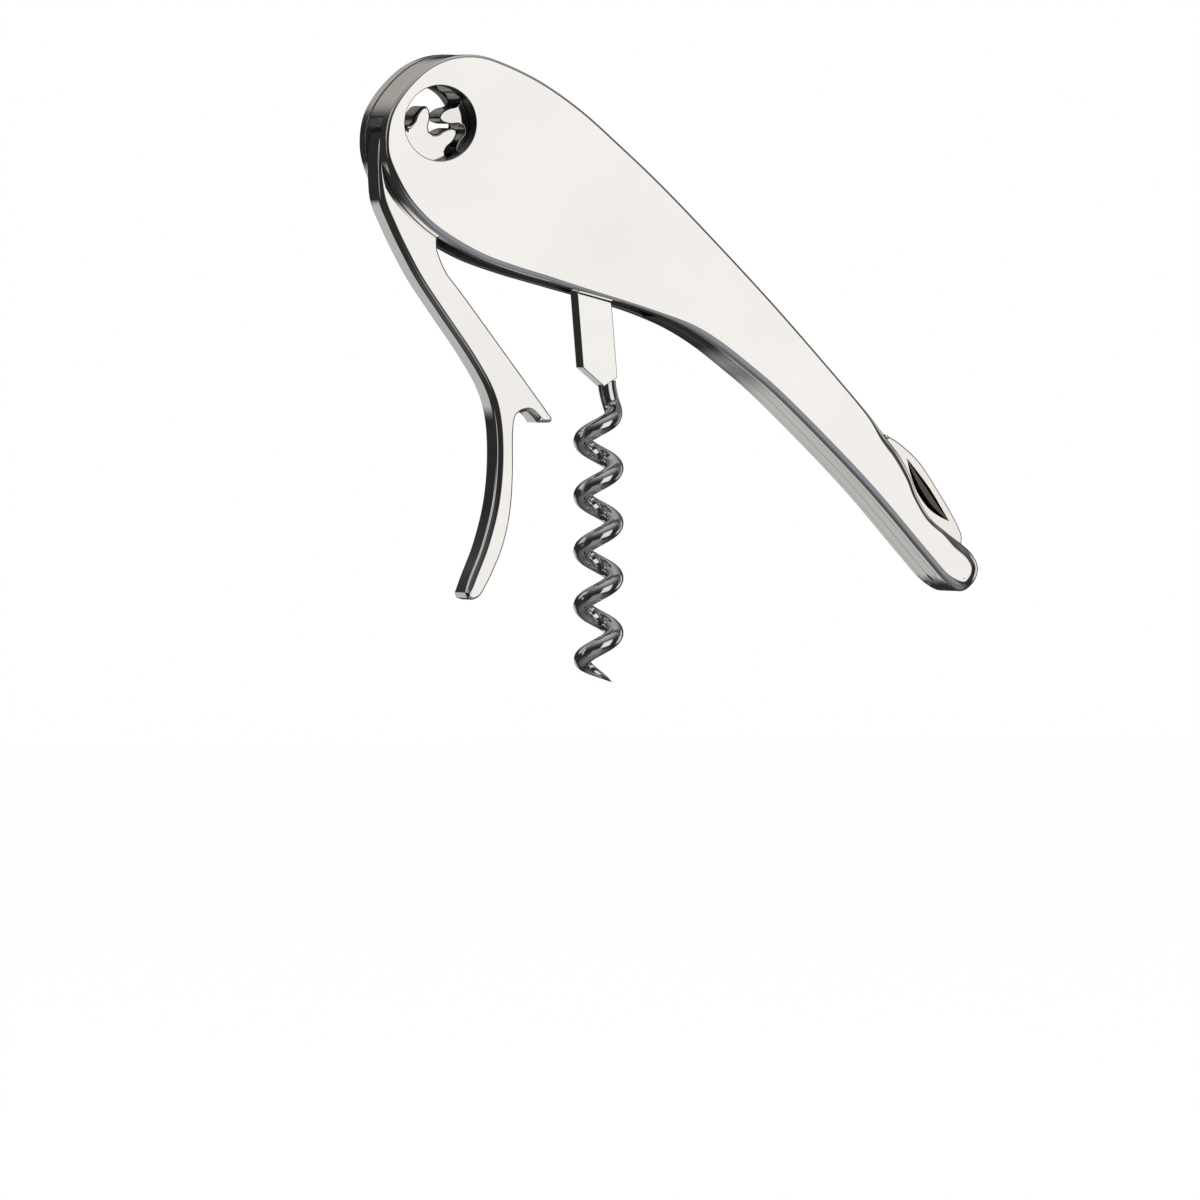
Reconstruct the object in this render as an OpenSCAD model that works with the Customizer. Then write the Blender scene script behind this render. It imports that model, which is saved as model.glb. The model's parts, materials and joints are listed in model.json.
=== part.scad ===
// Geared lever corkscrew with a folding foil knife.
// +Z is up the bottle axis, +X runs towards the nose of the handle, and the handle lies
// in the plane Y = 0.  The origin is the centre of the bottle mouth that the toe sits on.

/* [Handle] */
// Overall thickness of the handle across both cheeks
handle_thick = 13.8; // [13.6:0.1:14.2]
// Thickness of the walls at the sides of the handle
cheek_thick = 3.3; // [3.1:0.1:3.4]
// Radius of the round window over the gears
window_r = 6.3; // [5:0.05:6.8]
// Thickness of the bent strip that closes the crown
strip_thick = 1.2; // [0.8:0.1:1.2]
// How far the strip lies inside the cheeks' edges
edge_inset = 0.15; // [0.1:0.05:0.4]

/* [Gears] */
// Gear module
gear_module = 1.93; // [1.93:0.01:1.93]
// Teeth on a whole wheel of this size
gear_count = 10; // [10:1:10]
// Pressure angle of the teeth
pressure_angle = 28; // [26:1:30]
// Thickness of the lever's hub and of the gear stack
gear_thick = 6.4; // [6:0.1:6.4]
// Length of the arm that lifts the worm carrier
arm_len = 18; // [17:0.1:18]
// Direction of that arm at rest, down from +X
arm_drop = 70; // [66:1:72]

/* [Pins] */
// Radius of the lever pin and of the gear pin
pin_r = 2; // [1.8:0.1:2.2]
// Wall of the bronze bushes on those pins
bush_wall = 0.95; // [0.7:0.05:1]
// Radius of the pin at the top of the worm carrier
carrier_pin_r = 1.5; // [1.2:0.1:1.5]
// Radius of the knife pin
knife_pin_r = 1.2; // [1:0.1:1.4]
// Radial running clearance of every pin
run_gap = 0.05; // [0.03:0.01:0.08]
// Depth of the blind holes that hold the pins in the cheeks
pin_seat = 1.2; // [0.8:0.1:1.4]

/* [Worm] */
// Diameter of the worm's wire
wire_d = 3; // [2.4:0.1:3.2]
// Mean radius of the helix
worm_r = 2.7; // [2.4:0.1:3]
// Pitch of the helix
worm_pitch = 9.2; // [8:0.1:10]
// Turns below the carrier
worm_turns = 5.5; // [4.5:0.5:6]
// Thickness of the carrier plate
carrier_thick = 3.5; // [3:0.1:3.5]
// Width of the carrier plate
carrier_w = 6; // [5.6:0.1:6.2]

/* [Knife] */
// Thickness of the foil knife
knife_thick = 3; // [2:0.1:4]
// Depth of the nail nick in each side of it
nick_depth = 0.8; // [0.4:0.1:1]

/* [Hidden] */
$fn = 64;

face_y = handle_thick / 2;
slot_y = face_y - cheek_thick;
gear_y = gear_thick / 2;
steps = 5;

// Pivots, as [x, z]
lever_axis = [-35.2, 42.7];
mesh_angle = 31;
pitch_r = gear_module * gear_count / 2;
gear_axis = lever_axis + 2 * pitch_r * [cos(mesh_angle), sin(mesh_angle)];
carrier_axis = gear_axis + arm_len * [cos(arm_drop), -sin(arm_drop)];
knife_axis = [61.6, -23.8];
window_centre = [-30.6, 50.2];
dowels = [[19, 20], [33, 7.5], [46.5, -7.5]];
dowel_r = 1;

// The cheek's outline, clockwise, as [x, z].  Crown: from the left of the head over the top
// and down the back of the handle.
crown_pts = [[-39.5, 51.5], [-37.7, 54.7], [-35, 57.7], [-32.1, 59.9], [-28.5, 61.3],
    [-24.3, 61.6], [-19.9, 60.5], [-12.9, 57.3], [-5.9, 52.7], [0.9, 47], [11.2, 37.6],
    [28.2, 20.5], [43.7, 3.7], [48.9, -2.2]];
// The scallop that bares the knife, then the round nose
scallop_pts = [[51.7, -5.5], [53.7, -9.2], [54.9, -12.6], [57, -16.1], [59.9, -18.5],
    [62.6, -20.3]];
nose_pts = [[64.9, -22.3], [66, -24.6], [65.2, -27.1], [62.8, -28.6]];
// Belly: from the nose along the underside to the left of the head
belly_pts = [[59.6, -26.6], [55.8, -22.5], [45, -10.5], [31, 3.1], [23.5, 9.3], [17.8, 13.4],
    [11.9, 16.6], [4.2, 19.4], [-9.5, 23.1], [-16.4, 25], [-23.7, 27.6], [-30.8, 31.6],
    [-35.4, 35.6], [-38.3, 39.6], [-39.9, 43.9], [-40.2, 47.8]];

// The lever: outer side from the hub down to the tail, then the inner side back up
lever_outer = [[-40.3, 42.7], [-39.9, 37.4], [-38.1, 33], [-36, 28.8], [-33.2, 23.9],
    [-29, 17.9], [-24.2, 11.2], [-20.8, 5.4], [-19.4, 0.3], [-19.1, -6.4], [-19.8, -13.5],
    [-21.6, -20.3], [-23.9, -26], [-24.7, -28.4]];
lever_tail = [[-24.4, -29.3], [-23.4, -29.6], [-22.4, -29.1]];
lever_inner = [[-21.8, -28.4], [-20.1, -25.3], [-18.1, -20.6], [-16.8, -15], [-16.3, -8.5],
    [-16.3, -2.5], [-16, 0.7], [-15.2, 1.8], [-14.1, 2.1], [-12.9, 1.3], [-11.8, 0]];
lever_toe = [[-9.8, 0], [-9.4, 0.3], [-9.4, 0.8], [-25.7, 22.1]];
lever_neck = [[-28, 24.9], [-29.3, 27.6], [-29.8, 30.5], [-28.4, 38.6]];
// The hub's brow, which fills the head below the end of the strip
lever_brow = [[-40.3, 42.7], [-40.1, 46.5], [-39.7, 48.6], [-38.7, 49.5], [-37.2, 49.4],
    [-35.4, 49.3], [-33, 47]];

// The knife: its back, round heel and cutting edge, as [x, z]
knife_back = [[50.7, -2.2], [53.3, -3.7], [57, -7], [60.6, -12.2], [62.9, -15.9],
    [64.4, -18.9], [64.5, -20.2]];
knife_edge = [[58.6, -21.9], [57.4, -18], [54.5, -13], [52.2, -7.6], [50.7, -2.2]];
knife_heel_r = 3;
knife_spacer_r = 2.4;
// The nail nick: its straight upper side and its bulging lower side, tip to tip
nick_pts = [[54.6, -6.2], [58.7, -11.3], [62.2, -16.9]];
nick_bulge = [[60.3, -16], [58.7, -14.9], [57.6, -13.7], [56.4, -11.9], [55.6, -10], [55, -8.1]];

// A point on the curve through b and c, whose neighbours are a and d
function between(a, b, c, d, t) = 0.5 * (2 * b + (c - a) * t
    + (2 * a - 5 * b + 4 * c - d) * t * t + (3 * b - a - 3 * c + d) * t * t * t);

// A smooth open curve through the points of p
function curve(p, n = steps) = let (last = len(p) - 1) concat(
    [for (i = [0:last - 1], k = [0:n - 1])
        between(p[max(i - 1, 0)], p[i], p[i + 1], p[min(i + 2, last)], k / n)],
    [p[last]]);

// A smooth closed curve through the points of p
function loop(p, n = steps) = let (m = len(p))
    [for (i = [0:m - 1], k = [0:n - 1])
        between(p[(i + m - 1) % m], p[i], p[(i + 1) % m], p[(i + 2) % m], k / n)];

// Point i of the clockwise closed outline p, moved inwards by d
function inset_point(p, i, d) = let (m = len(p), t = p[(i + 1) % m] - p[(i + m - 1) % m])
    p[i % m] + d * [t.y, -t.x] / norm(t);

// Points first to last of that outline, moved inwards by d
function inset(p, d, first, last) = [for (i = [first:last]) inset_point(p, i, d)];

function reversed(p) = [for (i = [len(p) - 1:-1:0]) p[i]];

function arc(centre, r, from, to, n = 12) =
    [for (k = [0:n]) let (a = from + (to - from) * k / n) centre + r * [cos(a), sin(a)]];

outline = loop(concat(crown_pts, scallop_pts, nose_pts, belly_pts));
crown_end = steps * (len(crown_pts) - 1);
grip_first = steps * 10 + 2;
belly_first = steps * (len(crown_pts) + len(scallop_pts) + len(nose_pts));
grip_tail = belly_first - steps;
grip_last = belly_first + steps * 6 + 2;

// A flat shape drawn in X and Z, given thickness from y0 to y1
module slab(y0, y1) {
    translate([0, y1, 0]) rotate([90, 0, 0]) linear_extrude(y1 - y0) children();
}

// A pin, disc or hole along Y
module rod(at, r, y0, y1) {
    slab(y0, y1) translate(at) circle(r);
}

module washer(at, bore, r, y0, y1) {
    slab(y0, y1) translate(at) difference() {
        circle(r);
        circle(bore);
    }
}

/* Gear teeth */
base_r = pitch_r * cos(pressure_angle);
tip_r = pitch_r + 0.62 * gear_module;
root_r = pitch_r - 1.25 * gear_module;
tooth_pitch = 360 / gear_count;
// What each tooth gives up to play, each side, as an angle
backlash_angle = 2.3;
function roll(a) = tan(a) * 180 / PI - a;
// Half the angle that a tooth fills at radius r
function half_angle(r) = tooth_pitch / 4 - backlash_angle + roll(pressure_angle)
    - roll(acos(min(1, base_r / r)));

// One tooth whose middle stands at an angle: filleted root, involute flanks, rounded tip
module tooth(at) {
    shoulder_r = tip_r - 0.45;
    root = [[root_r - 0.5, tooth_pitch / 2], [root_r, 0.85 * tooth_pitch / 2],
        [root_r + 0.35, half_angle(base_r) + 2.6], [root_r + 0.8, half_angle(base_r) + 0.7]];
    flank = [for (k = [1:5]) let (r = base_r + (shoulder_r - base_r) * k / 5)
        [r, half_angle(r)]];
    tip = [[tip_r - 0.12, 0.75 * half_angle(tip_r)], [tip_r, 0.35 * half_angle(tip_r)]];
    side = concat(root, flank, tip);
    both = concat([for (f = side) [f.x, -f.y]], reversed(side));
    polygon([for (s = both) s.x * [cos(at + s.y), sin(at + s.y)]]);
}

// A toothed sector about the origin, with a round hub
module sector(angles, hub_r) {
    margin = tooth_pitch / 2;
    low = min(angles) - margin;
    high = max(angles) + margin;
    circle(hub_r);
    polygon(concat([[0, 0]], arc([0, 0], root_r, low, high, 24)));
    for (a = angles) tooth(a);
}

lever_hub_r = 4.8;
gear_hub_r = 4.7;
// How far past the line of centres the lever's middle tooth stands at rest
tooth_lead = 4.7;
lever_teeth = [for (k = [-1:1]) mesh_angle + tooth_lead + tooth_pitch * k];
gear_teeth = [for (k = [-1.5, -0.5, 0.5]) mesh_angle + 180 - tooth_lead + tooth_pitch * k];
bush_r = pin_r + run_gap + bush_wall;
boss_r = 2.7;
washer_r = pin_r + 0.9;
end_play = 0.05;
seat_y = slot_y + pin_seat;

/* Handle: two half shells that meet on the middle plane along the grip */
module side_wall(side) {
    slab(side < 0 ? -face_y : slot_y, side < 0 ? -slot_y : face_y) polygon(outline);
}

// Half of the solid grip, from under the strip to the underside, hollowed for the knife, and
// carried round under the knife's heel to the stop that its back meets when it is open
heel_gap = 0.3;
module half_grip(side) {
    top = inset(outline, edge_inset + strip_thick, grip_first, crown_end);
    pocket = [[49.1, -6], [51.6, -12.6], [54.3, -17.8], [56.6, -20.4]];
    heel = arc(knife_axis, knife_heel_r + heel_gap, 165, 250, 8);
    stop = [for (s = [[3.9, 265], [4.3, 276]]) knife_axis + s.x * [cos(s.y), sin(s.y)]];
    under = [for (i = [grip_tail:grip_last]) outline[i]];
    slab(side < 0 ? -slot_y : 0, side < 0 ? 0 : slot_y)
        polygon(concat(top, pocket, heel, stop, under));
}

module cheek(side) {
    s0 = side < 0 ? -seat_y : -1;
    s1 = side < 0 ? 1 : seat_y;
    difference() {
        union() {
            side_wall(side);
            half_grip(side);
        }
        slab(-face_y - 1, face_y + 1) translate(window_centre) circle(window_r);
        rod(lever_axis, pin_r, s0, s1);
        rod(gear_axis, pin_r, s0, s1);
        rod(knife_axis, knife_pin_r, s0, s1);
        for (d = dowels) rod(d, dowel_r, s0, s1);
    }
}

module front_cheek() { color("gainsboro") cheek(-1); }

module rear_cheek() { color("gainsboro") cheek(1); }

// The bent strip between the half shells, from the left of the head to the knife
module crown_strip() {
    outer = inset(outline, edge_inset, 0, crown_end);
    inner = inset(outline, edge_inset + strip_thick, 0, crown_end);
    color("silver") slab(-slot_y, slot_y) polygon(concat(outer, reversed(inner)));
}

module grip_dowels() {
    color("dimgray") for (d = dowels) rod(d, dowel_r, -seat_y, seat_y);
}

/* Lever */
module lever_pin() { color("dimgray") rod(lever_axis, pin_r, -seat_y, seat_y); }

module lever_washer_front() {
    color("goldenrod") washer(lever_axis, pin_r, washer_r, -slot_y, -gear_y - end_play);
}

module lever_washer_rear() {
    color("goldenrod") washer(lever_axis, pin_r, washer_r, gear_y + end_play, slot_y);
}

module lever_bush() {
    color("peru") washer(lever_axis, pin_r + run_gap, bush_r, -gear_y, gear_y);
}

// The lever in one piece: toothed hub, shank, toe for the lip and tail along the neck
module lever() {
    shank = concat([lever_axis], curve(lever_outer), lever_tail, curve(lever_inner), lever_toe,
        curve(lever_neck));
    color("gainsboro") difference() {
        slab(-gear_y, gear_y) union() {
            polygon(shank);
            polygon(concat([lever_axis], reversed(lever_brow)));
            translate(lever_axis) sector(lever_teeth, lever_hub_r);
        }
        rod(lever_axis, bush_r, -face_y, face_y);
    }
}

/* Lift gear: three stamped layers riveted together, the outer two with the arm */
rivet_r = 0.8;
rivet_ring_r = 5.2;
rivets = [for (a = gear_teeth) gear_axis + rivet_ring_r * [cos(a), sin(a)]];
fork_gap = 0.2;
fork_y = carrier_thick / 2 + fork_gap;

module gear_pin() { color("dimgray") rod(gear_axis, pin_r, -seat_y, seat_y); }

module gear_washer_front() {
    color("goldenrod") washer(gear_axis, pin_r, washer_r, -slot_y, -gear_y - end_play);
}

module gear_washer_rear() {
    color("goldenrod") washer(gear_axis, pin_r, washer_r, gear_y + end_play, slot_y);
}

module gear_bush() {
    color("peru") washer(gear_axis, pin_r + run_gap, bush_r, -gear_y, gear_y);
}

module gear_layer(y0, y1, with_arm) {
    color("silver") difference() {
        slab(y0, y1) union() {
            translate(gear_axis) sector(gear_teeth, gear_hub_r);
            if (with_arm) {
                translate(gear_axis) rotate(-arm_drop)
                    translate([0, -boss_r]) square([arm_len, 2 * boss_r]);
                translate(carrier_axis) circle(boss_r);
            }
        }
        rod(gear_axis, bush_r, -face_y, face_y);
        for (r = rivets) rod(r, rivet_r, -face_y, face_y);
        if (with_arm) rod(carrier_axis, carrier_pin_r, -face_y, face_y);
    }
}

module gear_core() { gear_layer(-fork_y, fork_y, false); }

module gear_plate_front() { gear_layer(-gear_y, -fork_y, true); }

module gear_plate_rear() { gear_layer(fork_y, gear_y, true); }

module gear_rivets() { color("dimgray") for (r = rivets) rod(r, rivet_r, -gear_y, gear_y); }

module carrier_pin() { color("dimgray") rod(carrier_axis, carrier_pin_r, -gear_y, gear_y); }

/* Worm and its carrier */
carrier_tilt = 4.8;
carrier_foot = [0.4, 6];
// How far the plate's middle line passes to the left of its foot
foot_offset = 0.5;
up_dir = [-sin(carrier_tilt), cos(carrier_tilt)];
side_dir = [cos(carrier_tilt), sin(carrier_tilt)];
wire_top = [1.5, 7];
stub_r = 1;
stub_len = 8;
lock_at = wire_top + 5.5 * up_dir;
lock_r = 0.5;
// The lock pin is driven in from the rear, and ends this far in front of the middle
lock_reach = 1.2;

// Something round along the carrier's tilted length, from h0 to h1 above the wire's top
module along_carrier(r, h0, h1) {
    translate([wire_top.x, 0, wire_top.y]) rotate([0, -carrier_tilt, 0])
        translate([0, 0, h0]) cylinder(r = r, h = h1 - h0);
}

// The plate: straight and tilted where it shows, cranked above to its pin.  The crank starts
// at these heights on its left and right sides
crank = [18, 21.5];
module worm_carrier() {
    middle = carrier_foot - foot_offset * side_dir;
    left = middle - carrier_w / 2 * side_dir;
    right = middle + carrier_w / 2 * side_dir;
    boss = [carrier_axis + boss_r * [-0.7, -0.7], carrier_axis + boss_r * [0.7, 0.7]];
    plate = [carrier_foot, right + 1.3 * up_dir, right + crank[1] * up_dir, boss[1], boss[0],
        left + crank[0] * up_dir, left + 3.5 * up_dir];
    color("whitesmoke") difference() {
        slab(-carrier_thick / 2, carrier_thick / 2) union() {
            polygon(plate);
            translate(carrier_axis) circle(boss_r);
        }
        rod(carrier_axis, carrier_pin_r + run_gap, -face_y, face_y);
        rod(lock_at, lock_r, -lock_reach, face_y);
        along_carrier(stub_r, -3, stub_len);
        along_carrier(wire_d / 2 + 0.1, -3, 0.65);
    }
}

module worm_lock_pin() {
    color("dimgray") rod(lock_at, lock_r, -lock_reach, carrier_thick / 2);
}

// The worm's centreline at depth w below the wire's top: straight, then winding up to speed
worm_len = worm_pitch * worm_turns;
straight = 3;
wind_up = 4;
sides = 10;
rings = 96;
function ease(t) = let (u = max(0, min(1, t))) u * u * (3 - 2 * u);
function wound(w) = w < straight ? 0 : w < straight + wind_up
    ? (w - straight) ^ 2 / (2 * wind_up) : w - straight - wind_up / 2;
function worm_at(w) = let (
        a = 90 + 360 * wound(w) / worm_pitch,
        r = wire_top.x + (worm_r - wire_top.x) * ease(w / (straight + wind_up)))
    [r * sin(a), r * cos(a), wire_top.y - w];
function wire_r(w) = wire_d / 2 * min(1, max(0.12, (worm_len - w) / 4));
function unit(v) = v / norm(v);

// The wire as [centre, radius] rings: the thin stub up in the carrier, then the worm
function stub_at(h) = let (p = wire_top + h * up_dir) [p.x, 0, p.y];
wire = concat(
    [[stub_at(stub_len), stub_r], [stub_at(0.6), stub_r], [stub_at(0.1), wire_d / 2]],
    [for (i = [1:rings]) let (w = worm_len * i / rings) [worm_at(w), wire_r(w)]]);

function wire_ring(i) = let (
        t = unit(wire[min(i + 1, len(wire) - 1)][0] - wire[max(i - 1, 0)][0]),
        u = unit(cross(t, [0, 1, 0])),
        v = cross(t, u))
    [for (k = [0:sides - 1]) let (a = 360 * k / sides)
        wire[i][0] + wire[i][1] * (cos(a) * u + sin(a) * v)];

module worm() {
    last = len(wire) - 1;
    points = [for (i = [0:last]) each wire_ring(i)];
    tube = [for (i = [0:last - 1], k = [0:sides - 1]) let (n = (k + 1) % sides)
        [i * sides + k, i * sides + n, (i + 1) * sides + n, (i + 1) * sides + k]];
    caps = [[for (k = [sides - 1:-1:0]) k], [for (k = [0:sides - 1]) last * sides + k]];
    color("silver") polyhedron(points, concat(tube, caps));
}

/* Foil knife */
knife_y = knife_thick / 2;

module knife_pin() { color("dimgray") rod(knife_axis, knife_pin_r, -seat_y, seat_y); }

module knife_spacer_front() {
    color("goldenrod") washer(knife_axis, knife_pin_r, knife_spacer_r, -slot_y, -knife_y - end_play);
}

module knife_spacer_rear() {
    color("goldenrod") washer(knife_axis, knife_pin_r, knife_spacer_r, knife_y + end_play, slot_y);
}

module knife_blade() {
    heel = arc(knife_axis, knife_heel_r, 20, -200, 20);
    nick = concat(nick_pts, nick_bulge);
    color("whitesmoke") difference() {
        slab(-knife_y, knife_y) polygon(concat(curve(knife_back), heel, curve(knife_edge)));
        rod(knife_axis, knife_pin_r + run_gap, -face_y, face_y);
        for (side = [-1, 1]) slab(side * knife_y - nick_depth, side * knife_y + nick_depth)
            polygon(nick);
    }
}

// The leaf that holds the knife shut, let into the floor of its pocket
module knife_spring() {
    leaf = curve([[49.3, -6.5], [51.8, -12.8], [54.4, -17.6], [57, -20.6]]);
    thin = [0.35, 0.2];
    color("slategray") slab(-2, 2) polygon(concat(leaf, reversed([for (p = leaf) p + thin])));
}

front_cheek();
rear_cheek();
crown_strip();
grip_dowels();
lever_pin();
lever_washer_front();
lever_washer_rear();
lever();
lever_bush();
gear_pin();
gear_washer_front();
gear_washer_rear();
gear_core();
gear_plate_front();
gear_plate_rear();
gear_rivets();
gear_bush();
carrier_pin();
worm_carrier();
worm();
worm_lock_pin();
knife_pin();
knife_spacer_front();
knife_spacer_rear();
knife_blade();
knife_spring();
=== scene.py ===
"""Looks for the geared lever corkscrew: rounded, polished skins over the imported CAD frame."""
import json
import math

import bmesh
import bpy
from mathutils import Matrix, Vector

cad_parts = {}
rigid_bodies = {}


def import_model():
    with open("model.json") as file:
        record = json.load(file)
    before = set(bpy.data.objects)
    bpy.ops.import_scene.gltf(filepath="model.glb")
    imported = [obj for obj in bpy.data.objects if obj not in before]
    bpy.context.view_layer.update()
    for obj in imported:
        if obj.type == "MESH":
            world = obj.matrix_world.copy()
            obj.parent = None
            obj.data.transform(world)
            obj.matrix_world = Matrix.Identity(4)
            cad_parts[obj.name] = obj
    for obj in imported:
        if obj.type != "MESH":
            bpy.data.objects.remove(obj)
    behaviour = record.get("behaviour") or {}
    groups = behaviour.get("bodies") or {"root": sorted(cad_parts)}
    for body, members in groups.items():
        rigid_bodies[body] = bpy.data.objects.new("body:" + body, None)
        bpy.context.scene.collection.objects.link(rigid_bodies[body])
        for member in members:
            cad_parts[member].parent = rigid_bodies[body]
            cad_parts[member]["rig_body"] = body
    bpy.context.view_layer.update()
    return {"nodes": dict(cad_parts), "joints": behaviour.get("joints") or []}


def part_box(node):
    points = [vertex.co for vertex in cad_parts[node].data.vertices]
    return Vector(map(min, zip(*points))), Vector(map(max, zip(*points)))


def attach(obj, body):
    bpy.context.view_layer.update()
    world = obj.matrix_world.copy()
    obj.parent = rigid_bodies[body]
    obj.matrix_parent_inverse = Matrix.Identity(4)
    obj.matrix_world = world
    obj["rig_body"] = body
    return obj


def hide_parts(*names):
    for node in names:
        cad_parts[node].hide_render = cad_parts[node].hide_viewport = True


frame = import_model()
MM = 0.001
# Thickness of a half shell's side wall, in millimetres
CHEEK_THICK = 3.3


# ---------------------------------------------------------------- camera, floor and light

CAMERA_YAW = math.radians(20)
CAMERA_PITCH = math.radians(0.9)
CAMERA_DISTANCE = 6.704
CAMERA_LENS = 1200
LOOK_AT = Vector((0.00027, 0, -0.0298))
FLOOR_Z = -0.30
FLOOR_HALF_WIDTH = 12


def add_camera():
    """A very long lens, turned to the left of the front and looking down a little."""
    data = bpy.data.cameras.new("camera")
    data.lens = CAMERA_LENS
    data.sensor_width = 36
    data.clip_end = 40
    camera = bpy.data.objects.new("camera", data)
    bpy.context.scene.collection.objects.link(camera)
    camera.location = LOOK_AT + CAMERA_DISTANCE * Vector((
        -math.sin(CAMERA_YAW), -math.cos(CAMERA_YAW), math.tan(CAMERA_PITCH)))
    camera.rotation_euler = (LOOK_AT - camera.location).to_track_quat("-Z", "Y").to_euler()
    bpy.context.scene.camera = camera


def soft_glow(name, colour, softness):
    """A glow that fades away towards the edges of a card whose sides run from -1 to 1."""
    material = bpy.data.materials.new(name)
    material.use_nodes = True
    tree = material.node_tree
    tree.nodes.clear()

    def node(kind, **values):
        made = tree.nodes.new("ShaderNode" + kind)
        for key, value in values.items():
            setattr(made, key, value)
        return made

    place = node("TexCoord").outputs["Object"]
    apart = node("SeparateXYZ")
    tree.links.new(place, apart.inputs[0])
    share = None
    for axis in ("X", "Y"):
        away = node("Math", operation="ABSOLUTE")
        tree.links.new(apart.outputs[axis], away.inputs[0])
        fade = node("MapRange", interpolation_type="SMOOTHSTEP")
        tree.links.new(away.outputs[0], fade.inputs["Value"])
        fade.inputs["From Min"].default_value = 1 - softness
        fade.inputs["From Max"].default_value = 1
        fade.inputs["To Min"].default_value = 1
        fade.inputs["To Max"].default_value = 0
        if share is None:
            share = fade.outputs["Result"]
            continue
        both = node("Math", operation="MULTIPLY")
        tree.links.new(share, both.inputs[0])
        tree.links.new(fade.outputs["Result"], both.inputs[1])
        share = both.outputs[0]
    glow = node("Emission")
    glow.inputs["Color"].default_value = (*colour, 1)
    mix = node("MixShader")
    tree.links.new(share, mix.inputs["Fac"])
    tree.links.new(node("BsdfTransparent").outputs[0], mix.inputs[1])
    tree.links.new(glow.outputs[0], mix.inputs[2])
    tree.links.new(mix.outputs[0], node("OutputMaterial").inputs["Surface"])
    return material


DOME_RADIUS = 16
# The dome's grey from straight down to straight up, as (share of the way, brightness)
DOME_GREYS = ((0.0, 0.20), (0.08, 0.12), (0.2, 0.03), (0.56, 0.025), (0.75, 0.10), (1.0, 0.55))

CARD_DISTANCE = 1.25
# Cards and flags that only reflections see: the azimuth from +Y towards +X and the elevation of
# the middle, the width and height, all in degrees, the colour, and the share that fades out
CARDS = {
    "front_card": ((160, -2), (56, 56), (1.01, 0.985, 0.955), 0.4),
    "low_left_card": ((196, -48), (56, 56), (0.27, 0.285, 0.31), 0.35),
    "rear_low_card": ((-8, -19), (34, 26), (0.50, 0.505, 0.49), 0.35),
    "warm_card": ((2, 24), (44, 24), (0.42, 0.385, 0.355), 0.6),
    "left_strip": ((-84, 15), (12, 70), (0.85, 0.87, 0.9), 0.5),
    "rear_left_card": ((-58, 20), (30, 40), (0.62, 0.63, 0.64), 0.5),
    "right_strip": ((78, 0), (40, 60), (0.7, 0.71, 0.73), 0.5),
}


def add_dome():
    """A dark dome that only reflections see, so that rounded metal has something to darken to."""
    bm = bmesh.new()
    bmesh.ops.create_icosphere(bm, subdivisions=4, radius=DOME_RADIUS)
    mesh = bpy.data.meshes.new("dome")
    bm.to_mesh(mesh)
    bm.free()
    material = bpy.data.materials.new("dome")
    material.use_nodes = True
    tree = material.node_tree
    tree.nodes.clear()
    place = tree.nodes.new("ShaderNodeTexCoord")
    apart = tree.nodes.new("ShaderNodeSeparateXYZ")
    height = tree.nodes.new("ShaderNodeMapRange")
    ramp = tree.nodes.new("ShaderNodeValToRGB")
    glow = tree.nodes.new("ShaderNodeEmission")
    out = tree.nodes.new("ShaderNodeOutputMaterial")
    height.inputs["From Min"].default_value = -DOME_RADIUS
    height.inputs["From Max"].default_value = DOME_RADIUS
    stops = ramp.color_ramp.elements
    while len(stops) < len(DOME_GREYS):
        stops.new(0.5)
    for stop, (share, grey) in zip(stops, DOME_GREYS):
        stop.position = share
        stop.color = (grey, grey, grey, 1)
    tree.links.new(place.outputs["Object"], apart.inputs[0])
    tree.links.new(apart.outputs["Z"], height.inputs["Value"])
    tree.links.new(height.outputs["Result"], ramp.inputs["Fac"])
    tree.links.new(ramp.outputs["Color"], glow.inputs["Color"])
    tree.links.new(glow.outputs[0], out.inputs["Surface"])
    mesh.materials.append(material)
    dome = bpy.data.objects.new("dome", mesh)
    bpy.context.scene.collection.objects.link(dome)
    only_reflections(dome)


def only_reflections(thing):
    """Hides a part of the studio from everything but glossy reflections."""
    thing.visible_camera = False
    thing.visible_shadow = False
    thing.visible_diffuse = False
    thing.visible_transmission = False


def add_card(name, middle, size, colour, softness):
    """A glowing card that faces the tool, brought nearer where it would reach the floor."""
    azimuth, elevation = (math.radians(v) for v in middle)
    flat = math.cos(elevation)
    way = Vector((math.sin(azimuth) * flat, math.cos(azimuth) * flat, math.sin(elevation)))
    distance = min(CARD_DISTANCE, abs(0.95 * FLOOR_Z / min(way.z, -1e-3)))
    mesh = bpy.data.meshes.new(name)
    mesh.from_pydata([(-1, -1, 0), (1, -1, 0), (1, 1, 0), (-1, 1, 0)], [], [(0, 1, 2, 3)])
    mesh.materials.append(soft_glow(name, colour, softness))
    card = bpy.data.objects.new(name, mesh)
    bpy.context.scene.collection.objects.link(card)
    card.location = way * distance
    card.rotation_euler = way.to_track_quat("Z", "Y").to_euler()
    card.scale = [distance * math.tan(math.radians(v / 2)) for v in size] + [1]
    only_reflections(card)


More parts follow.
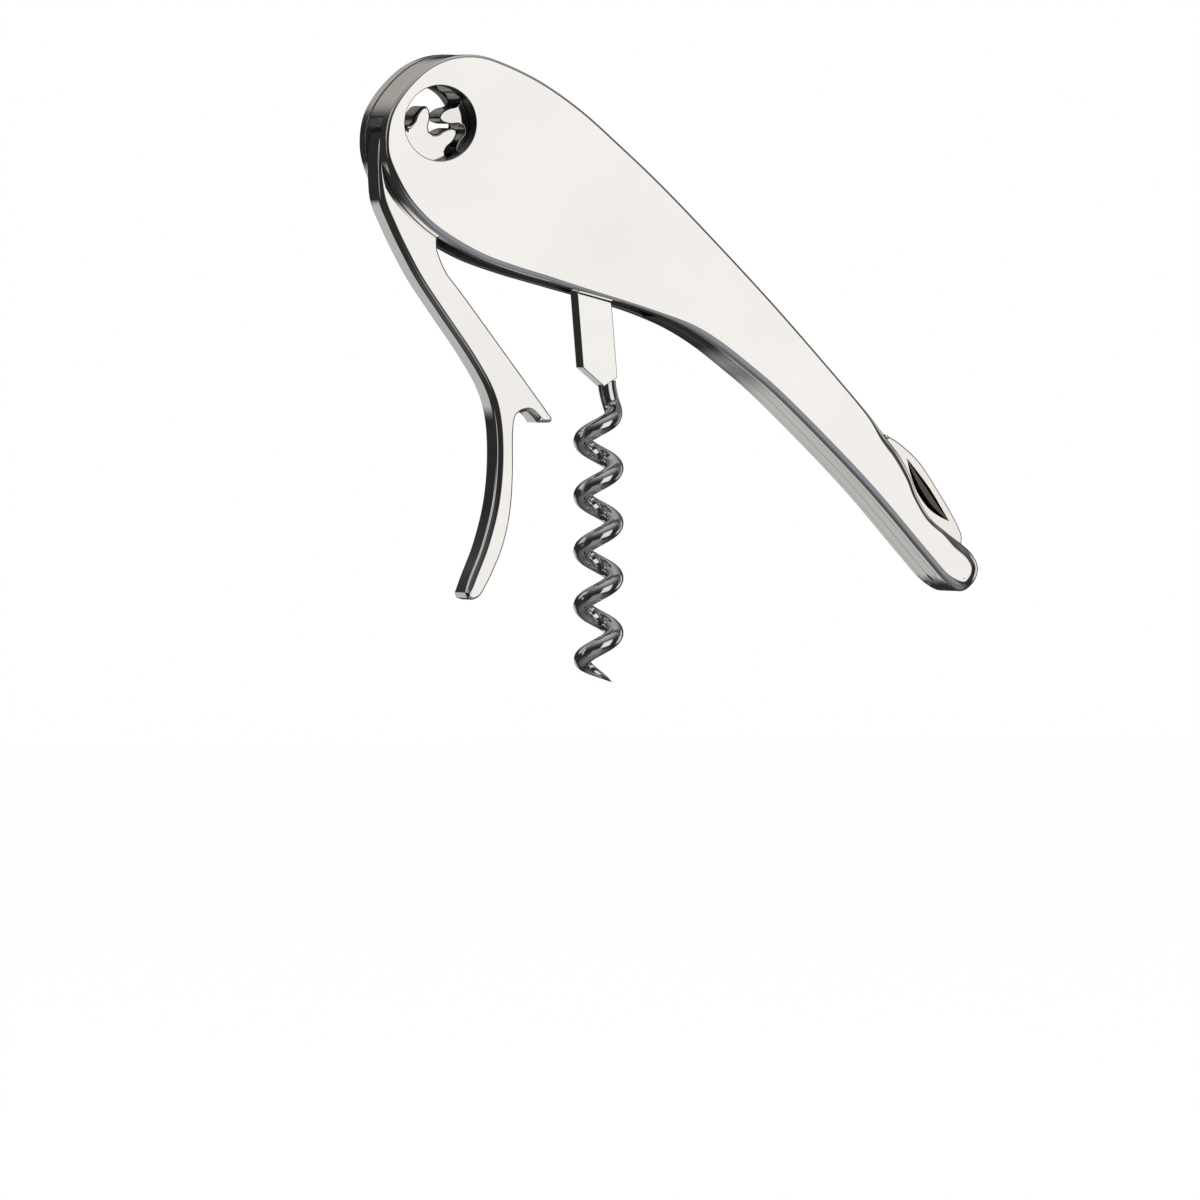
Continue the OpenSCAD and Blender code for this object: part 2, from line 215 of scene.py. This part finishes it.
def add_floor():
    """A wide pale floor, far enough below that the tool hangs over it as it would over a bottle."""
    mesh = bpy.data.meshes.new("floor")
    w = FLOOR_HALF_WIDTH
    mesh.from_pydata([(-w, -w, 0), (w, -w, 0), (w, w, 0), (-w, w, 0)], [], [(0, 1, 2, 3)])
    floor = bpy.data.objects.new("floor", mesh)
    bpy.context.scene.collection.objects.link(floor)
    floor.location.z = FLOOR_Z
    material = bpy.data.materials.new("floor")
    material.use_nodes = True
    shader = material.node_tree.nodes["Principled BSDF"]
    shader.inputs["Base Color"].default_value = (0.95, 0.95, 0.945, 1)
    shader.inputs["Roughness"].default_value = 0.7
    shader.inputs["Emission Color"].default_value = (1, 1, 1, 1)
    shader.inputs["Emission Strength"].default_value = 0.12
    mesh.materials.append(material)
    floor.visible_glossy = False


def add_world():
    """An even white studio, which is also the backdrop."""
    world = bpy.data.worlds.new("studio")
    bpy.context.scene.world = world
    world.use_nodes = True
    background = world.node_tree.nodes["Background"]
    background.inputs["Color"].default_value = (1, 1, 1, 1)
    background.inputs["Strength"].default_value = 1.0


def add_key():
    """A broad soft light from above and in front, which brings the floor up to near white."""
    data = bpy.data.lights.new("key", "SUN")
    data.energy = 0.2
    data.angle = math.radians(50)
    key = bpy.data.objects.new("key", data)
    bpy.context.scene.collection.objects.link(key)
    key.rotation_euler = (math.radians(25), math.radians(15), 0)
    key.visible_glossy = False


# ---------------------------------------------------------------- outlines taken from the CAD

# How far from a plate's face its edges may lie, in metres
FACE_REACH = 5e-5


def edge_loops(node, side):
    """The closed edges of a CAD plate's face towards -Y (side -1) or +Y (side 1).

    Each is a list of points in millimetres, the longest, which is the outline, first."""
    low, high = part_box(node)
    face = low[1] if side < 0 else high[1]
    bm = bmesh.new()
    bm.from_mesh(frame["nodes"][node].data)
    bmesh.ops.remove_doubles(bm, verts=bm.verts, dist=1e-6)
    bm.normal_update()
    rim = {}
    for edge in bm.edges:
        if len(edge.link_faces) != 2:
            continue
        tilt = sorted(face.normal.y * side for face in edge.link_faces)
        outer = all(abs(v.co.y - face) < FACE_REACH for v in edge.verts)
        if outer and tilt[1] > 0.9 and tilt[0] < 0.5:
            for vert in edge.verts:
                rim.setdefault(vert, []).append(edge)
    loops = []
    left = set(rim)
    while left:
        start = min(left, key=lambda v: (round(v.co.x, 6), round(v.co.z, 6)))
        loop, vert, edge = [], start, rim[start][0]
        while True:
            loop.append(vert.co / MM)
            left.discard(vert)
            vert = edge.other_vert(vert)
            edge = next(e for e in rim[vert] if e is not edge)
            if vert is start:
                break
        loops.append(loop)
    bm.free()
    loops.sort(key=lambda p: -sum((a - b).length for a, b in zip(p, p[1:])))
    return loops


def turn(before, here, after):
    """The angle by which an outline turns at a point, in degrees."""
    a, b = here - before, after - here
    return math.degrees(a.angle(b)) if a.length > 1e-6 and b.length > 1e-6 else 0


def refine(loop, cuts, corner=24):
    """The loop with each curved stretch cut finer along a smooth curve; corners stay sharp."""
    n = len(loop)
    flat = [Vector((p.x, 0, p.z)) for p in loop]
    sharp = [turn(flat[i - 1], flat[i], flat[(i + 1) % n]) > corner for i in range(n)]
    fine = []
    for i in range(n):
        a, b, c, d = loop[i - 1], loop[i], loop[(i + 1) % n], loop[(i + 2) % n]
        step = c - b
        along_b = step if sharp[i] else (c - a) * min(1, step.length / max((b - a).length, 1e-6)) / 2
        along_c = step if sharp[(i + 1) % n] else (
            (d - b) * min(1, step.length / max((d - c).length, 1e-6)) / 2)
        if not sharp[i] and (b - a).length < step.length:
            along_b = (c - a).normalized() * step.length
        if not sharp[(i + 1) % n] and (d - c).length < step.length:
            along_c = (d - b).normalized() * step.length
        for k in range(cuts):
            t = k / cuts
            fine.append((2 * t**3 - 3 * t**2 + 1) * b + (t**3 - 2 * t**2 + t) * along_b
                        + (3 * t**2 - 2 * t**3) * c + (t**3 - t**2) * along_c)
    return fine


def signed_area(loop):
    """The area inside a loop in X and Z, negative if it runs clockwise."""
    return sum(a.x * b.z - b.x * a.z for a, b in zip(loop, loop[1:] + loop[:1])) / 2


def inward(loop, hole):
    """For each point, the direction in X and Z that leads into the metal, mitred at corners."""
    n = len(loop)
    way = 1 if (signed_area(loop) > 0) != hole else -1
    out = []
    for i in range(n):
        a = loop[i] - loop[i - 1]
        b = loop[(i + 1) % n] - loop[i]
        na = Vector((-a.z, 0, a.x)).normalized() * way
        nb = Vector((-b.z, 0, b.x)).normalized() * way
        mid = (na + nb).normalized()
        out.append(mid / max(0.6, mid.dot(nb)))
    return out


def averaged(values, reach):
    """Each value averaged round the loop with its neighbours up to reach steps away."""
    n = len(values)
    return [sum(values[(i + k) % n] for k in range(-reach, reach + 1)) / (2 * reach + 1)
            for i in range(n)]


# ---------------------------------------------------------------- rounded plates

ROUNDING_STEPS = 7
# Width of the flat strip inside each rounded edge, which keeps the shading of the face flat
LAND = 0.12
HOLE_ROUNDING = 0.2


def add_slab(bm, loops, depths, front, back, cuts=3, open_front=False, open_back=False,
             gouge=None, deep=0):
    """Adds a plate with rounded edges: the first loop is its outline and the others its holes.

    depths(p) gives the (front, back) Y at a point.  front and back give the rounding of those
    two edges in millimetres, at a point (x, z) whose outward direction is (nx, nz).  gouge is
    the rim of a hollow, that deep, scooped out of both sides."""
    stacks = []
    for number, loop in enumerate(loops):
        loop = refine(loop, cuts)
        inset = inward(loop, hole=number > 0)
        radii = []
        for rule in (front, back):
            row = [HOLE_ROUNDING if number else rule(p.x, p.z, -n.x, -n.z)
                   for p, n in zip(loop, inset)]
            radii.append(averaged(averaged(row, 2 * cuts), cuts))
        stacks.append(add_rings(bm, loop, inset, [depths(p) for p in loop], *radii))
    for index, is_open in ((0, open_front), (-1, open_back)):
        if is_open:
            continue
        rims = [rings[index] for rings in stacks]
        if gouge:
            y = depths(loops[0][0])[index]
            rims.append(scoop(bm, refine(gouge, cuts), y, -math.copysign(deep, y)))
        cap(bm, rims)


def add_rings(bm, loop, inset, depths, front, back):
    """Rings of vertices round one closed edge, from the front face over both roundings to the
    back face; returns the list of rings."""
    quarter = [k / ROUNDING_STEPS * math.pi / 2 for k in range(ROUNDING_STEPS + 1)]
    stations = [(0, LAND)] + [(angle, 0) for angle in quarter]
    rings = []
    for is_front in (True, False):
        for angle, land in stations if is_front else reversed(stations):
            ring = []
            for p, n, (y0, y1), r0, r1 in zip(loop, inset, depths, front, back):
                room = 0.98 * (y1 - y0) / max(r0 + r1, 1e-6)
                r = (r0 if is_front else r1) * min(1, room)
                spread, depth = r * (1 - math.sin(angle)), r * (1 - math.cos(angle))
                y = y0 + depth if is_front else y1 - depth
                place = Vector((p.x, 0, p.z)) + n * (spread + land)
                ring.append(bm.verts.new((place.x * MM, y * MM, place.z * MM)))
            rings.append(ring)
    for r0, r1 in zip(rings, rings[1:]):
        for i in range(len(loop)):
            j = (i + 1) % len(loop)
            bm.faces.new((r0[i], r0[j], r1[j], r1[i]))
    return rings


def cap(bm, rims):
    """Fills the flat face inside the first rim and outside the others."""
    edges = []
    for ring in rims:
        for a, b in zip(ring, ring[1:] + ring[:1]):
            edges.append(bm.edges.get((a, b)) or bm.edges.new((a, b)))
    bmesh.ops.triangle_fill(bm, edges=edges, use_beauty=True)


# How far a scooped hollow closes in on its middle line from rim to floor, as a share
SCOOP_CLOSING = 0.7


def scoop(bm, rim, y, deep, steps=6):
    """A hollow with a sharp rim, at its deepest along the line between its two far ends.

    It takes the piece's second material, which on the knife is a dark painted shade.  Returns the
    vertices of a border round the rim."""
    flat = [Vector((p.x, 0, p.z)) for p in rim]
    ends = max(((p, q) for p in flat for q in flat), key=lambda pair: (pair[0] - pair[1]).length)
    start, along = ends[0], ends[1] - ends[0]
    land = [p + n * LAND for p, n in zip(flat, inward(rim, hole=True))]
    border = [bm.verts.new((p.x * MM, y * MM, p.z * MM)) for p in land]
    rings = []
    for k in range(steps + 1):
        inside = k / steps
        ring = []
        for p in flat:
            share = max(0, min(1, (p - start).dot(along) / along.length_squared))
            place = p.lerp(start + along * share, SCOOP_CLOSING * inside)
            sink = deep * math.sin(inside * math.pi / 2) * math.sqrt(4 * share * (1 - share))
            ring.append(bm.verts.new((place.x * MM, (y + sink) * MM, place.z * MM)))
        rings.append(ring)
    for i in range(len(rim)):
        j = (i + 1) % len(rim)
        bm.faces.new((border[i], border[j], rings[0][j], rings[0][i]))
        for outer, inner in zip(rings, rings[1:]):
            bm.faces.new((outer[i], outer[j], inner[j], inner[i])).material_index = 1
    bm.faces.new(rings[-1]).material_index = 1
    return border


def plate(node, front, back=None, cuts=3):
    """A mesh of one whole CAD plate."""
    loops = edge_loops(node, -1)
    low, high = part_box(node)
    both = (low[1] + high[1]) / MM
    bm = bmesh.new()
    add_slab(bm, loops, lambda p: (p.y, both - p.y), front, back or front, cuts)
    return bm


# Edges that turn by more than this are shaded sharp
SHARP_ANGLE = math.radians(32)


def finish_piece(name, bm, node, colours):
    """Turns a mesh into a smooth piece that rides with a CAD node and stands in for it."""
    bmesh.ops.remove_doubles(bm, verts=bm.verts, dist=2e-7)
    bmesh.ops.recalc_face_normals(bm, faces=bm.faces)
    mesh = bpy.data.meshes.new(name)
    bm.to_mesh(mesh)
    bm.free()
    piece = bpy.data.objects.new(name, mesh)
    bpy.context.scene.collection.objects.link(piece)
    for polygon in mesh.polygons:
        polygon.use_smooth = True
    mesh.set_sharp_from_angle(angle=SHARP_ANGLE)
    weighted = piece.modifiers.new("weighted_normals", "WEIGHTED_NORMAL")
    weighted.keep_sharp = True
    weighted.weight = 80
    for colour in colours:
        mesh.materials.append(colour)
    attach(piece, frame["nodes"][node]["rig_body"])
    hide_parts(node)
    return piece


# ---------------------------------------------------------------- materials


class Shader:
    """A procedural material being built, with its nodes laid out by short calls."""

    def __init__(self, name):
        self.material = bpy.data.materials.new(name)
        self.material.use_nodes = True
        self.tree = self.material.node_tree
        self.surface = self.tree.nodes["Principled BSDF"]
        self.place = self.tree.nodes.new("ShaderNodeTexCoord").outputs["Object"]

    def node(self, kind, **values):
        made = self.tree.nodes.new("ShaderNode" + kind)
        for key, value in values.items():
            if key in made.inputs:
                made.inputs[key].default_value = value
            else:
                setattr(made, key, value)
        return made

    def link(self, source, target):
        self.tree.links.new(source, target)

    def noise(self, scale, detail=4.0, roughness=0.55, stretch=None):
        """Noise in object space; stretch squeezes the coordinates, to draw the grain out."""
        made = self.node("TexNoise", Scale=scale, Detail=detail, Roughness=roughness)
        place = self.place
        if stretch:
            mapping = self.node("Mapping", Scale=stretch)
            self.link(place, mapping.inputs["Vector"])
            place = mapping.outputs["Vector"]
        self.link(place, made.inputs["Vector"])
        return made.outputs["Fac"]

    def spread(self, value, low, high, start=0.3, end=0.7):
        made = self.node("MapRange")
        for key, number in zip((1, 2, 3, 4), (start, end, low, high)):
            made.inputs[key].default_value = number
        self.link(value, made.inputs["Value"])
        return made.outputs["Result"]

    def tint(self, value, dark, light):
        made = self.node("Mix", data_type="RGBA")
        made.inputs[6].default_value = (*dark, 1)
        made.inputs[7].default_value = (*light, 1)
        self.link(value, made.inputs[0])
        self.link(made.outputs[2], self.surface.inputs["Base Color"])

    def math(self, operation, first, second):
        made = self.node("Math", operation=operation)
        self.link(first, made.inputs[0])
        self.link(second, made.inputs[1])
        return made.outputs[0]

    def times(self, first, second):
        return self.math("MULTIPLY", first, second)

    def plus(self, first, second):
        return self.math("ADD", first, second)

    def bump(self, height, strength, distance):
        made = self.node("Bump", Strength=strength, Distance=distance)
        self.link(height, made.inputs["Height"])
        self.link(made.outputs["Normal"], self.surface.inputs["Normal"])


# How convex an edge is where its wear starts and where it is full, and what wear adds at most
WORN_EDGE = (0.52, 0.6)
WORN_ROUGHNESS = 0.12


def metal(name, dark, light, roughness, grain=900, stretch=None, relief=0.02):
    """Polished metal: faint cloudiness in colour, a very fine polishing grain in gloss and
    relief, and edges that handling has dulled a little."""
    m = Shader(name)
    m.surface.inputs["Metallic"].default_value = 1
    cloud = m.noise(45, detail=3)
    m.tint(m.spread(cloud, 0, 1), dark, light)
    fine = m.noise(grain, detail=2, stretch=stretch)
    edge = m.node("NewGeometry").outputs["Pointiness"]
    worn = m.times(m.spread(edge, 0, WORN_ROUGHNESS, *WORN_EDGE), cloud)
    m.link(m.plus(m.spread(fine, *roughness), worn), m.surface.inputs["Roughness"])
    m.bump(fine, relief, 2e-5)
    return m.material


def materials():
    """Every finish; the window's walls, the teeth's flanks and the nick get dark metals, darker than
    their record slots, that are painted shade.
    """
    return {
        "plate": metal("polished_plate", (0.86, 0.85, 0.84), (0.90, 0.89, 0.875), (0.02, 0.05)),
        # Painted shade: a dark metal for the window's walls and the faces inside the shells; its
        # roughness is a dull finish, its darkness stands in for shade
        "inside": metal("inside_painted_shade", (0.10, 0.10, 0.105), (0.16, 0.16, 0.165), (0.3, 0.45),
                        grain=1500, relief=0.05),
        "strip": metal("polished_strip", (0.80, 0.79, 0.78), (0.86, 0.85, 0.84), (0.04, 0.09)),
        "lever": metal("polished_forging", (0.84, 0.83, 0.82), (0.89, 0.88, 0.87), (0.02, 0.05)),
        "gear": metal("bright_gear", (0.78, 0.77, 0.76), (0.86, 0.85, 0.84), (0.03, 0.08)),
        # Painted shade: dark metal for the teeth's flanks, standing in for the dark surroundings
        # they would mirror
        "cut": metal("teeth_painted_shade", (0.16, 0.16, 0.165), (0.26, 0.26, 0.27), (0.1, 0.2), grain=1200),
        # Painted shade: a dark metal for the nail nick, standing in for the shade and dark
        # reflections in the hollow
        "nick": metal("nick_painted_shade", (0.07, 0.06, 0.05), (0.16, 0.135, 0.115), (0.12, 0.22)),
        "carrier": metal("polished_carrier", (0.86, 0.86, 0.85), (0.9, 0.9, 0.89), (0.02, 0.05)),
        "wire": metal("polished_wire", (0.70, 0.71, 0.73), (0.80, 0.81, 0.83), (0.05, 0.12),
                      stretch=(1, 1, 6)),
        "blade": metal("ground_blade", (0.82, 0.80, 0.77), (0.88, 0.86, 0.83), (0.08, 0.16),
                       stretch=(1, 1, 8), relief=0.05),
        "pin": metal("ground_pin", (0.42, 0.42, 0.42), (0.52, 0.52, 0.52), (0.2, 0.32)),
        "brass": metal("washer_brass", (0.66, 0.50, 0.22), (0.76, 0.60, 0.30), (0.18, 0.3)),
        "bronze": metal("sintered_bronze", (0.44, 0.28, 0.14), (0.56, 0.38, 0.2), (0.35, 0.5)),
        "spring": metal("blued_leaf", (0.20, 0.23, 0.30), (0.30, 0.32, 0.38), (0.2, 0.3)),
    }


# ---------------------------------------------------------------- pieces


def smooth(low, high, value):
    """From 0 at low to 1 at high, with a soft start and end; low may be the greater."""
    t = max(0, min(1, (value - low) / (high - low)))
    return t * t * (3 - 2 * t)


def even(value):
    """A rounding rule that gives the same radius everywhere."""
    return lambda x, z, nx, nz: value


def starts_near(hole, centre, reach):
    """Is a hole's first point within reach of a centre in millimetres?"""
    return math.hypot(hole[0].x - centre[0], hole[0].z - centre[1]) < reach


def paint_flank_shade(piece, centre, reach, lean=0.6):
    """Paints shade on the cut sides within reach of a centre in millimetres, by giving them the
    piece's second material, a dark metal.

    A side may lean towards -Y or +Y until the Y of its normal is lean."""
    middle = Vector((centre[0], 0, centre[1])) * MM
    for polygon in piece.data.polygons:
        across = polygon.center - middle
        across.y = 0
        if across.length < reach * MM and abs(polygon.normal.y) < lean:
            polygon.material_index = 1


def joint_place(name):
    """Where a hinge's axis stands, as (x, z) in millimetres."""
    place = next(j["pos_m"] for j in frame["joints"] if j["name"] == name)
    return place[0] / MM, place[2] / MM


# The middle of the head's window, how far from it its walls lie, and how near a hole's edge
# has to start to be the window's, in millimetres
WINDOW = (-30.6, 50.2)
WINDOW_REACH = 6.6
WINDOW_SEARCH = 8
# Roundings of a half shell: the greatest, at the nose, its inner edges and its middle seam
NOSE_ROUNDING = 2.15
INNER_ROUNDING = 0.08
SEAM_ROUNDING = 0.13
# How deep a half grip is buried in its side wall, in millimetres
BURIED = 0.5
# How far from a gear's axis its teeth reach, in millimetres
TOOTH_REACH = 11.5


def cheek_radius(x, z, nx, nz):
    """Fine round the head, fuller along the belly and the scallop, and fullest at the nose."""
    under = smooth(0.0, 0.3, -nz)
    belly = 0.8 * under * smooth(46, 40, z) * smooth(2, -14, x)
    grip = 0.75 * under * smooth(8, 16, x)
    hollow = smooth(46.5, 50, x) * smooth(56, 52, x)
    scallop = (1 - under) * (0.6 * smooth(45.5, 49, x) + 0.7 * hollow)
    return max(0.55 + belly + grip + scallop, NOSE_ROUNDING * smooth(59, 62, x))


def half_shell(name, node, side, paint):
    """A side wall with its share of the solid grip, whose edge shows as the middle seam."""
    wall = edge_loops(node, side)
    grip = edge_loops(node, -side)[:1]
    outer = wall[0][0].y
    inner = outer - side * CHEEK_THICK
    holes = [hole for hole in wall[1:] if starts_near(hole, WINDOW, WINDOW_SEARCH)]
    bm = bmesh.new()
    fine, seam = even(INNER_ROUNDING), even(SEAM_ROUNDING)
    if side < 0:
        add_slab(bm, wall[:1] + holes, lambda p: (outer, inner), cheek_radius, fine)
        add_slab(bm, grip, lambda p: (inner - BURIED, 0), fine, seam, open_front=True)
    else:
        add_slab(bm, wall[:1] + holes, lambda p: (inner, outer), fine, cheek_radius)
        add_slab(bm, grip, lambda p: (0, inner + BURIED), seam, fine, open_back=True)
    piece = finish_piece(name, bm, node, [paint["plate"], paint["inside"]])
    # Painted shade: the window's walls and the faces turned into the shell take the dark second
    # material
    paint_flank_shade(piece, WINDOW, WINDOW_REACH, lean=0.7)
    for polygon in piece.data.polygons:
        if polygon.normal.y * side < -0.9:
            polygon.material_index = 1


def lever_front(x, z, nx, nz):
    """Well rounded along the outer side of the shank, and fine elsewhere."""
    outer = smooth(0.2, 0.7, -nx) * smooth(-30, -27, z)
    return 0.35 + outer * (0.3 + 0.6 * smooth(42, 37, z))


def lever_back(x, z, nx, nz):
    """Rounded along the outer side of the shank, and fine elsewhere."""
    return 0.35 + 0.8 * smooth(0.2, 0.7, -nx) * smooth(-30, -27, z)


# How far a peened pin stands proud, in millimetres
PEEN_HEIGHT = 0.12


def domed_pin(node, name, colour, sides=24, steps=5):
    """A blind pin whose peened end stands a little proud of the plate that it sits in."""
    low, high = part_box(node)
    radius = (high[0] - low[0]) / 2
    middle = Vector(((low[0] + high[0]) / 2, 0, (low[2] + high[2]) / 2))
    profile = [(0, low[1]), (radius, low[1])]
    for k in range(steps + 1):
        angle = k / steps * math.pi / 2
        profile.append((radius * math.cos(angle), high[1] + PEEN_HEIGHT * MM * math.sin(angle)))
    bm = bmesh.new()
    rings = []
    for r, y in profile:
        rings.append([bm.verts.new(middle + Vector((
            r * math.cos(2 * math.pi * k / sides), y, r * math.sin(2 * math.pi * k / sides))))
            for k in range(sides)])
    for before, after in zip(rings, rings[1:]):
        for k in range(sides):
            j = (k + 1) % sides
            bm.faces.new((before[k], before[j], after[j], after[k]))
    finish_piece(name, bm, node, [colour])


# Depth of the nail nicks, in millimetres
NICK_DEPTH = 0.8


def knife(paint):
    """The blade, with a nail nick scooped out of each side."""
    outline, *holes = edge_loops("knife_blade", -1)
    holes.sort(key=lambda hole: max((p - hole[0]).length for p in hole))
    bore, nick = holes
    face = outline[0].y
    bm = bmesh.new()
    add_slab(bm, [outline, bore], lambda p: (face, -face), even(0.3), even(0.3),
             gouge=nick, deep=NICK_DEPTH)
    # Painted shade: the nick takes the knife's dark second material
    finish_piece("foil_knife", bm, "knife_blade", [paint["blade"], paint["nick"]])


# The worm, in millimetres: where its wire leaves the carrier, and how it winds up to its pitch
WIRE_TOP = (1.5, 7.0)
WIRE_RADIUS = 1.5
WORM_RADIUS = 2.7
WORM_PITCH = 9.2
WORM_LENGTH = 50.6
WORM_STRAIGHT = 3.0
WORM_WIND_UP = 4.0
WORM_POINT = 4.0


def worm_at(w):
    """The worm's centreline at a depth w below the top of the wire."""
    into = max(0, w - WORM_STRAIGHT)
    wound = into**2 / (2 * WORM_WIND_UP) if into < WORM_WIND_UP else into - WORM_WIND_UP / 2
    angle = math.pi / 2 + 2 * math.pi * wound / WORM_PITCH
    across = WIRE_TOP[0] + (WORM_RADIUS - WIRE_TOP[0]) * smooth(0, WORM_STRAIGHT + WORM_WIND_UP, w)
    return Vector((across * math.sin(angle), across * math.cos(angle), WIRE_TOP[1] - w))


def worm(paint, rings=420, sides=20):
    """The wire swept along its helix, down to a ground point."""
    bm = bmesh.new()
    before = None
    for i in range(rings + 1):
        w = WORM_LENGTH * i / rings
        here = worm_at(w)
        ahead = (worm_at(w + 0.05) - worm_at(w - 0.05)).normalized()
        u = ahead.cross(Vector((0, 1, 0))).normalized()
        v = ahead.cross(u)
        radius = WIRE_RADIUS * min(1, max(0.02, ((WORM_LENGTH - w) / WORM_POINT) ** 0.8))
        ring = []
        for k in range(sides):
            angle = 2 * math.pi * k / sides
            place = here + radius * (math.cos(angle) * u + math.sin(angle) * v)
            ring.append(bm.verts.new(place * MM))
        if before:
            for k in range(sides):
                j = (k + 1) % sides
                bm.faces.new((before[k], before[j], ring[j], ring[k]))
        else:
            bm.faces.new(ring)
        before = ring
    bm.faces.new(before)
    finish_piece("worm_wire", bm, "worm", [paint["wire"]])


def dress(paint):
    """Pieces of their own for everything that shows, and a finish for the rest."""
    half_shell("shell_front", "front_cheek", -1, paint)
    half_shell("shell_rear", "rear_cheek", 1, paint)
    plates = {
        "crown_strip": ("crown_band", even(0.06), None, "strip"),
        "gear_core": ("gear_middle", even(0.01), None, "gear"),
        "gear_plate_front": ("gear_front", even(0.2), even(0.01), "gear"),
        "gear_plate_rear": ("gear_rear", even(0.01), even(0.2), "gear"),
        "worm_carrier": ("carrier_plate", even(0.18), None, "carrier"),
    }
    for node, (name, front, back, colour) in plates.items():
        toothed = colour == "gear"
        colours = [paint[colour], paint["cut"]] if toothed else [paint[colour]]
        piece = finish_piece(name, plate(node, front, back), node, colours)
        if toothed:
            # Painted shade: the teeth's flanks take the dark second material
            paint_flank_shade(piece, joint_place("gear_hinge"), TOOTH_REACH)
    forging = plate("lever", lever_front, lever_back)
    lever = finish_piece("lever_forging", forging, "lever", [paint["lever"], paint["cut"]])
    # Painted shade: the lever's teeth by the window take the dark second material
    paint_flank_shade(lever, WINDOW, WINDOW_REACH + 1)
    knife(paint)
    worm(paint)
    domed_pin("worm_lock_pin", "wire_lock", paint["pin"])
    inner = {"pin": ("grip_dowels", "lever_pin", "gear_pin", "gear_rivets", "carrier_pin",
                     "knife_pin"),
             "brass": ("lever_washer_front", "lever_washer_rear", "gear_washer_front",
                       "gear_washer_rear", "knife_spacer_front", "knife_spacer_rear"),
             "bronze": ("lever_bush", "gear_bush"),
             "spring": ("knife_spring",)}
    for colour, nodes in inner.items():
        for node in nodes:
            data = frame["nodes"][node].data
            data.materials.clear()
            data.materials.append(paint[colour])


add_camera()
add_floor()
add_world()
add_dome()
for name, (middle, size, colour, softness) in CARDS.items():
    add_card(name, middle, size, colour, softness)
add_key()
dress(materials())

bpy.context.scene.view_settings.view_transform = "Standard"
